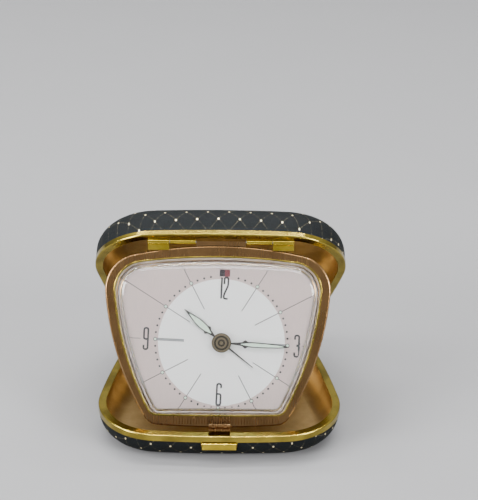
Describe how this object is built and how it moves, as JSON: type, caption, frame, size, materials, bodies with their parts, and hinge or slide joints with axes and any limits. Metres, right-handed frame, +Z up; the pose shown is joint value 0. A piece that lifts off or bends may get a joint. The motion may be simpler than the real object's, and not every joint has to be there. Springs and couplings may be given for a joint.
{
  "type": "folding travel alarm clock",
  "caption": "Folding travel alarm clock in a leatherette and brass clamshell case, with a keystone bezel, domed crystal, barbed luminous hands and a mechanical movement",
  "frame": {"origin": "Centre of the flat underside of the lower shell, on the surface it rests on.", "axes": "+X to the right along the width and both case hinges, +Y to the rear, +Z up; the front faces -Y."},
  "size_m": [0.1002, 0.0899, 0.0849],
  "materials": {
    "bezel_bronze": "brushed copper tan",
    "crystal": "thick clear dome",
    "dial_face": "silvered pink grey with a white centre",
    "flag_red": "two-colour paint, dark and red",
    "hand_dark": "dark brown",
    "hinge_brass": "bright brass",
    "hub_bronze": "turned bronze",
    "leatherette": "black grained covering with faint gold diamond lines and dots",
    "lining_brass": "lacquered orange gold sheet",
    "lume": "pale mint filling",
    "movement_brass": "plain brass",
    "rim_brass": "polished olive gold",
    "steel": "bright steel"
  },
  "bodies": {
    "lower_shell": {"lower_cover": "leatherette", "lower_pan": "lining_brass", "lower_rim": "rim_brass", "lower_hinge_leaves": "hinge_brass", "rear_hinge_pins": "steel", "latch_spring": "steel"},
    "latch": {"latch_button": "rim_brass", "latch_hook": "lining_brass"},
    "upper_shell": {"upper_cover": "leatherette", "upper_pan": "lining_brass", "upper_rim": "rim_brass", "upper_hinge_leaves": "hinge_brass", "upper_hinge_tabs": "hinge_brass"},
    "clock": {"bezel": "bezel_bronze", "bezel_lip": "rim_brass", "bezel_flutes": "bezel_bronze", "crystal": "crystal", "dial": "dial_face", "case_pan": "lining_brass", "clock_hinge_pins": "steel", "clock_brackets": "hinge_brass", "clock_bracket_rivets": "hinge_brass", "clock_strap": "bezel_bronze", "front_plate": "movement_brass", "back_plate": "movement_brass", "plate_pillars": "movement_brass", "plate_screws": "steel", "back_cover": "lining_brass", "back_screws": "steel", "hairspring": "steel", "ratchet_clicks": "movement_brass"},
    "minute_set": {"minute_arbor": "steel", "minute_hand": "hand_dark", "minute_hand_lume": "lume", "hub_cap": "hub_bronze", "time_knob": "movement_brass"},
    "minute_gear": {"minute_wheel": "movement_brass"},
    "hour_set": {"hour_wheel": "movement_brass", "hour_hand": "hand_dark", "hour_hand_lume": "lume"},
    "alarm_setting": {"alarm_wheel": "movement_brass", "alarm_hand": "hand_dark"},
    "alarm_setter": {"alarm_knob": "movement_brass"},
    "centre_gear": {"centre_wheel": "movement_brass"},
    "third_gear": {"third_wheel": "movement_brass"},
    "fourth_gear": {"fourth_wheel": "movement_brass"},
    "escape_gear": {"escape_wheel": "movement_brass"},
    "pallets": {"pallet_fork": "steel"},
    "balance": {"balance_wheel": "movement_brass"},
    "time_drum": {"time_barrel": "movement_brass", "time_mainspring": "steel"},
    "time_winder": {"time_winding_arbor": "steel", "time_key": "movement_brass"},
    "alarm_drum": {"alarm_barrel": "movement_brass", "alarm_mainspring": "steel"},
    "alarm_winder": {"alarm_winding_arbor": "steel", "alarm_key": "movement_brass"},
    "hammer": {"alarm_hammer": "steel"},
    "alarm_stop": {"alarm_stop_lever": "steel", "alarm_flag": "flag_red"}
  },
  "joints": [
    {"name": "shell_fold", "type": "hinge", "parent": "lower_shell", "child": "upper_shell", "pos_m": [0, 0.04075, 0.0125], "axis": [-1, 0, 0], "range_deg": [0, 50]},
    {"name": "clock_swing", "type": "hinge", "parent": "upper_shell", "child": "clock", "pos_m": [0, 0.001, 0.07586], "axis": [1, 0, 0], "range_deg": [0, 53]},
    {"name": "latch_press", "type": "slide", "parent": "lower_shell", "child": "latch", "axis": [0, 1, 0], "range_m": [0, 0.00095], "stiffness_N_per_m": 400, "springref_m": -0.0005, "deforming": ["latch_spring"]},
    {"name": "minute_turn", "type": "hinge", "parent": "clock", "child": "minute_set", "pos_m": [0.0005, -0.01079, 0.038], "axis": [0, -0.8988, 0.4384], "continuous": true},
    {"name": "minute_gear_turn", "type": "hinge", "parent": "clock", "child": "minute_gear", "pos_m": [0.00952, -0.00935, 0.04095], "axis": [0, -0.8988, 0.4384], "continuous": true},
    {"name": "hour_turn", "type": "hinge", "parent": "clock", "child": "hour_set", "pos_m": [0.0005, -0.01079, 0.038], "axis": [0, -0.8988, 0.4384], "continuous": true},
    {"name": "alarm_set_turn", "type": "hinge", "parent": "clock", "child": "alarm_setter", "pos_m": [-0.00438, -0.0156, 0.02815], "axis": [0, -0.8988, 0.4384], "continuous": true},
    {"name": "alarm_turn", "type": "hinge", "parent": "clock", "child": "alarm_setting", "pos_m": [0.0005, -0.01079, 0.038], "axis": [0, -0.8988, 0.4384], "continuous": true},
    {"name": "fourth_turn", "type": "hinge", "parent": "clock", "child": "fourth_gear", "pos_m": [0.00697, -0.00673, 0.04632], "axis": [0, -0.8988, 0.4384], "continuous": true},
    {"name": "third_turn", "type": "hinge", "parent": "clock", "child": "third_gear", "pos_m": [-0.00319, -0.00634, 0.04712], "axis": [0, -0.8988, 0.4384], "continuous": true},
    {"name": "centre_turn", "type": "hinge", "parent": "clock", "child": "centre_gear", "pos_m": [0.0005, -0.01079, 0.038], "axis": [0, -0.8988, 0.4384], "continuous": true},
    {"name": "drum_turn", "type": "hinge", "parent": "clock", "child": "time_drum", "pos_m": [-0.01132, -0.0117, 0.03613], "axis": [0, -0.8988, 0.4384], "continuous": true},
    {"name": "escape_turn", "type": "hinge", "parent": "clock", "child": "escape_gear", "pos_m": [0.01698, -0.0085, 0.04269], "axis": [0, -0.8988, 0.4384], "continuous": true},
    {"name": "pallet_rock", "type": "hinge", "parent": "clock", "child": "pallets", "pos_m": [0.01747, -0.01095, 0.03767], "axis": [0, -0.8988, 0.4384], "range_deg": [-6, 6]},
    {"name": "balance_swing", "type": "hinge", "parent": "clock", "child": "balance", "pos_m": [0.01622, -0.01406, 0.0313], "axis": [0, -0.8988, 0.4384], "range_deg": [-120, 120], "stiffness_Nm_per_rad": 0.00001},
    {"name": "time_wind", "type": "hinge", "parent": "clock", "child": "time_winder", "pos_m": [-0.01132, -0.0117, 0.03613], "axis": [0, -0.8988, 0.4384], "continuous": true},
    {"name": "alarm_drum_turn", "type": "hinge", "parent": "clock", "child": "alarm_drum", "pos_m": [0.004, -0.01737, 0.02452], "axis": [0, -0.8988, 0.4384], "continuous": true},
    {"name": "alarm_wind", "type": "hinge", "parent": "clock", "child": "alarm_winder", "pos_m": [0.004, -0.01737, 0.02452], "axis": [0, -0.8988, 0.4384], "continuous": true},
    {"name": "hammer_rock", "type": "hinge", "parent": "clock", "child": "hammer", "pos_m": [-0.009, -0.01824, 0.02272], "axis": [0, -0.8988, 0.4384], "range_deg": [-5, 5]},
    {"name": "alarm_stop_turn", "type": "hinge", "parent": "clock", "child": "alarm_stop", "pos_m": [0.00136, -0.00181, 0.05641], "axis": [0, -0.8988, 0.4384], "range_deg": [-8, 8]}
  ],
  "couplings": [
    {"joint": "minute_gear_turn", "follows": "minute_turn", "ratio": -0.33333},
    {"joint": "hour_turn", "follows": "minute_turn", "ratio": 0.083333},
    {"joint": "alarm_turn", "follows": "alarm_set_turn", "ratio": -0.25},
    {"joint": "third_turn", "follows": "fourth_turn", "ratio": -0.13333},
    {"joint": "centre_turn", "follows": "fourth_turn", "ratio": 0.016667},
    {"joint": "drum_turn", "follows": "fourth_turn", "ratio": -0.0041667},
    {"joint": "escape_turn", "follows": "fourth_turn", "ratio": -8}
  ]
}
